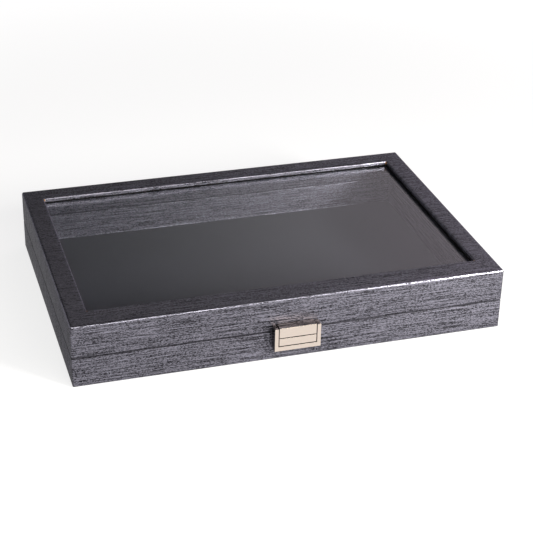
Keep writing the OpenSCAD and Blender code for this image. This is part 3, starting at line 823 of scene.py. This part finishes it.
def screw_tree():
    """Geometry nodes for pairs of screws in a row along X, their heads facing +Y."""
    tree = bpy.data.node_groups.new("countersunk_screws", "GeometryNodeTree")
    tree.interface.new_socket("Geometry", in_out="OUTPUT", socket_type="NodeSocketGeometry")
    for name, kind in (("Place", "Vector"), ("Pairs", "Int"), ("Pair Pitch", "Float"),
                       ("Screw Pitch", "Float"), ("Length", "Float"), ("Head Radius", "Float"),
                       ("Shank Radius", "Float"), ("Recess Width", "Float"),
                       ("Finish", "Material")):
        tree.interface.new_socket(name, in_out="INPUT", socket_type="NodeSocket" + kind)
    given = add(tree, "NodeGroupInput").outputs

    def row(count, pitch, middle):
        """Points in a row along X, centred on a place."""
        gaps = add(tree, "ShaderNodeMath", {0: count, 1: 1}, operation="SUBTRACT").outputs[0]
        span = add(tree, "ShaderNodeMath", {0: gaps, 1: pitch}, operation="MULTIPLY").outputs[0]
        back = add(tree, "ShaderNodeMath", {0: span, 1: -0.5}, operation="MULTIPLY").outputs[0]
        start = add(tree, "ShaderNodeCombineXYZ", {"X": back}).outputs[0]
        start = add(tree, "ShaderNodeVectorMath", {
            0: start, 1: middle}, operation="ADD").outputs[0]
        step = add(tree, "ShaderNodeCombineXYZ", {"X": pitch}).outputs[0]
        return add(tree, "GeometryNodeMeshLine", {
            "Count": count, "Start Location": start, "Offset": step}, mode="OFFSET").outputs[0]

    def moved(geometry, z, turn=0.0):
        """Geometry moved along Z and turned round it."""
        offset = add(tree, "ShaderNodeCombineXYZ", {"Z": z}).outputs[0]
        return add(tree, "GeometryNodeTransform", {
            "Geometry": geometry, "Translation": offset,
            "Rotation": (0, 0, turn)}).outputs[0]

    # The head is a cone with its wide face at the origin. The shank is added below it.
    depth = add(tree, "ShaderNodeMath", {
        0: given["Head Radius"], 1: given["Shank Radius"]}, operation="SUBTRACT").outputs[0]
    head = add(tree, "GeometryNodeMeshCone", {
        "Vertices": head_sides, "Radius Top": given["Head Radius"],
        "Radius Bottom": given["Shank Radius"], "Depth": depth}).outputs["Mesh"]
    sunk = add(tree, "ShaderNodeMath", {0: depth, 1: -1.0}, operation="MULTIPLY").outputs[0]
    start = add(tree, "ShaderNodeMath", {
        0: depth, 1: shank_from}, operation="MULTIPLY").outputs[0]
    shank_length = add(tree, "ShaderNodeMath", {
        0: given["Length"], 1: start}, operation="SUBTRACT").outputs[0]
    shank = add(tree, "GeometryNodeMeshCylinder", {
        "Vertices": shank_sides, "Radius": given["Shank Radius"],
        "Depth": shank_length}).outputs["Mesh"]
    ends = add(tree, "ShaderNodeMath", {
        0: given["Length"], 1: start}, operation="ADD").outputs[0]
    middle = add(tree, "ShaderNodeMath", {0: ends, 1: -0.5}, operation="MULTIPLY").outputs[0]
    body = add(tree, "GeometryNodeMeshBoolean", {1: moved(head, sunk)}, operation="UNION")
    tree.links.new(moved(shank, middle), body.inputs[1])

    # Two crossed slots are cut into the head. The cutter is centred on the origin, so it
    # is twice as long and twice as deep as what it reaches.
    slot_length = add(tree, "ShaderNodeMath", {
        0: given["Head Radius"], 1: 2 * recess_reach}, operation="MULTIPLY").outputs[0]
    slot_depth = add(tree, "ShaderNodeMath", {
        0: depth, 1: 2 * recess_sink}, operation="MULTIPLY").outputs[0]
    slot_size = add(tree, "ShaderNodeCombineXYZ", {
        "X": slot_length, "Y": given["Recess Width"], "Z": slot_depth}).outputs[0]
    slot = add(tree, "GeometryNodeMeshCube", {"Size": slot_size}).outputs["Mesh"]
    cut = add(tree, "GeometryNodeMeshBoolean", {
        0: body.outputs["Mesh"], 1: slot}, operation="DIFFERENCE")
    tree.links.new(moved(slot, 0.0, math.pi / 2), cut.inputs[1])

    # Pairs of points stand along the row, and a screw is laid on each point.
    pair = row(2, given["Screw Pitch"], (0, 0, 0))
    places = add(tree, "GeometryNodeInstanceOnPoints", {
        "Points": row(given["Pairs"], given["Pair Pitch"], given["Place"]),
        "Instance": pair}).outputs[0]
    places = add(tree, "GeometryNodeRealizeInstances", {0: places}).outputs[0]
    laid = add(tree, "GeometryNodeInstanceOnPoints", {
        "Points": places, "Instance": cut.outputs["Mesh"],
        "Rotation": (-math.pi / 2, 0, 0)}).outputs[0]
    laid = add(tree, "GeometryNodeRealizeInstances", {0: laid}).outputs[0]
    laid = add(tree, "GeometryNodeSetMaterial", {
        "Geometry": laid, "Material": given["Finish"]}).outputs[0]
    add(tree, "NodeGroupOutput", {0: laid})
    return tree


screws_group = screw_tree()


def screws(name, node, body, pairs, pair_pitch):
    """The screws of one node, made by the tree and turned into a plain mesh. pair_pitch is
    the way from one pair's middle to the next, in millimetres."""
    low, high = extent(node)
    place = (0, high.y, (low.z + high.z) / 2)
    screw_pitch = high.x - low.x - 2 * head_r - (pairs - 1) * pair_pitch
    length = high.y - low.y
    maker = new_object(name + "_maker", bpy.data.meshes.new(name + "_maker"))
    modifier = maker.modifiers.new("screws", "NODES")
    modifier.node_group = screws_group
    values = {
        "Place": [c * mm for c in place], "Pairs": pairs, "Pair Pitch": pair_pitch * mm,
        "Screw Pitch": screw_pitch * mm, "Length": length * mm, "Head Radius": head_r * mm,
        "Shank Radius": screw_r * mm, "Recess Width": recess_w * mm, "Finish": bright_steel}
    for socket in screws_group.interface.items_tree:
        if socket.name in values:
            modifier[socket.identifier] = values[socket.name]
    graph = bpy.context.evaluated_depsgraph_get()
    mesh = bpy.data.meshes.new_from_object(maker.evaluated_get(graph))
    mesh.name = name
    bpy.data.objects.remove(maker)
    finish_piece(new_object(name, mesh), body, [node], sharp_angle=30)


# The hinges stand equally far left and right of the middle, and each of their leaves is
# held by one pair of screws.
leaf_low, leaf_high = extent("right_hinge_base_leaf")
hinge_pitch = leaf_low.x + leaf_high.x
screws("base_leaf_screws", "base_hinge_screws", "base", pairs=2, pair_pitch=hinge_pitch)
screws("lid_leaf_screws", "lid_hinge_screws", "lid", pairs=2, pair_pitch=hinge_pitch)
screws("clasp_frame_screws", "clasp_screws", "base", pairs=1, pair_pitch=0)
screws("hasp_block_screws", "hasp_screws", "lid", pairs=1, pair_pitch=0)

# ---------- underside ----------
# Black felt glued over the turned-in paper, a little short of the edges, so that the
# box doesn't scratch what it stands on.

# Wool felt: matt black, matted and slightly fuzzy.
felt, tree, shader = start_material("black_wool_felt")
place = add(tree, "ShaderNodeTexCoord").outputs["Object"]
fibre = 1.2 * mm
matted = add(tree, "ShaderNodeTexNoise", {
    "Vector": place, "Scale": 1 / fibre, "Detail": 5, "Roughness": 0.75, "Distortion": 1.5,
}).outputs[0]
colour = add(tree, "ShaderNodeMix", {
    0: matted, 6: linear("#121214"), 7: linear("#2a2a2e")}, data_type="RGBA").outputs[2]
relief = add(tree, "ShaderNodeBump", {"Height": matted, "Distance": 0.15 * mm}).outputs[0]
tree.links.new(colour, shader.inputs["Base Color"])
tree.links.new(relief, shader.inputs["Normal"])
shader.inputs["Roughness"].default_value = 1
shader.inputs["Sheen Weight"].default_value = 0.04
felt_in = 2.5
felt_r = 0.2
felt_outline = (
    arc(felt_in + felt_r, felt_r, felt_r, 270, 180, steps=3)
    + [(0, felt_in, felt_t), (0, turn_in, felt_t), (0, turn_in, board_low)]
)
corners, faces, uvs = swept([felt_outline], anchor=0, shift=0, closed=False)
make_piece("felt_underside", "base", felt, corners, faces, uvs, ["underside_felt"],
           turn_out=False)
